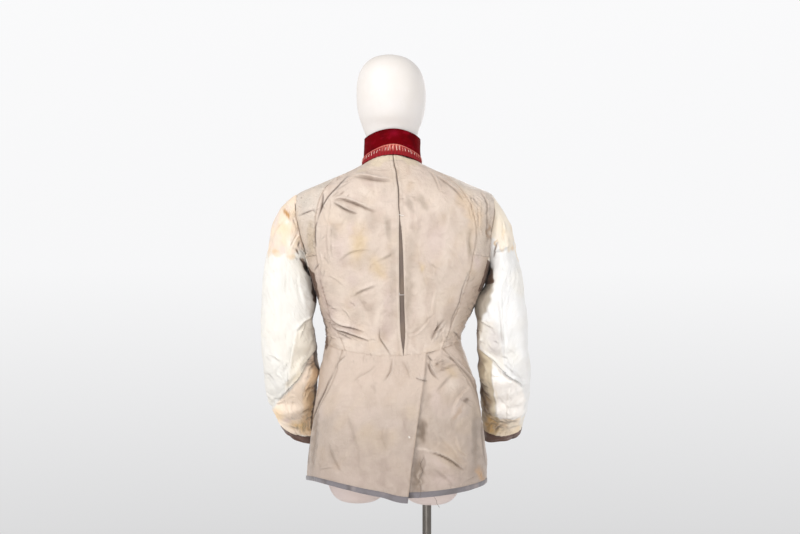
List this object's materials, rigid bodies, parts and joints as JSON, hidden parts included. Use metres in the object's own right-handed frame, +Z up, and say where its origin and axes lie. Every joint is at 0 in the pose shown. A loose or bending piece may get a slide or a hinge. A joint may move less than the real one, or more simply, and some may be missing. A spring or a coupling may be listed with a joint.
{
  "type": "military jacket on a display form and stand",
  "caption": "Fitted frock tunic turned inside out, with stand collar, flared skirt and back vent, on an egg-head armless display form on a pole stand.",
  "frame": {"origin": "on the floor under the middle of the stand's round base", "axes": "+Z up; the jacket's back faces -Y and the wearer's right is at +X"},
  "size_m": [0.6095, 0.42, 1.7475],
  "materials": {
    "lining": "glazed cotton lining, aged and creased, back body",
    "skirt": "the same glazed lining, duller, on the skirt",
    "shoulder": "silver-grey polished cotton lining of the shoulders",
    "front": "lining of the fronts",
    "strip": "dark woollen outer cloth at the seam allowance",
    "hem": "grey-blue hem facing",
    "patch": "white cotton underarm patch",
    "sleeve": "cream cotton sleeve lining, stained",
    "cuff": "brown woollen cuff facing",
    "velvet": "deep red wool velvet of the stand collar",
    "band": "quilted pink-red collar foot with pale stitches",
    "form": "smooth off-white display form",
    "steel": "satin steel pole, socket and base"
  },
  "bodies": {
    "root": {"back_left": "lining", "shoulder_left": "shoulder", "front_left": "front", "side_left": "lining", "underarm_patch_left": "patch", "skirt_back_left": "skirt", "skirt_front_left": "skirt", "hem_facing_back_left": "hem", "hem_facing_front_left": "hem", "top_sleeve_left": "sleeve", "under_sleeve_left": "sleeve", "cuff_left": "cuff", "back_right": "lining", "shoulder_right": "shoulder", "front_right": "front", "side_right": "lining", "underarm_patch_right": "patch", "skirt_back_right": "skirt", "skirt_front_right": "skirt", "hem_facing_back_right": "hem", "hem_facing_front_right": "hem", "top_sleeve_right": "sleeve", "under_sleeve_right": "sleeve", "cuff_right": "cuff", "centre_back_strip": "strip", "collar": "velvet", "collar_band": "band", "form_torso": "form", "form_head": "form", "stand_pole": "steel", "pole_socket": "steel", "stand_base": "steel"}
  },
  "joints": []
}
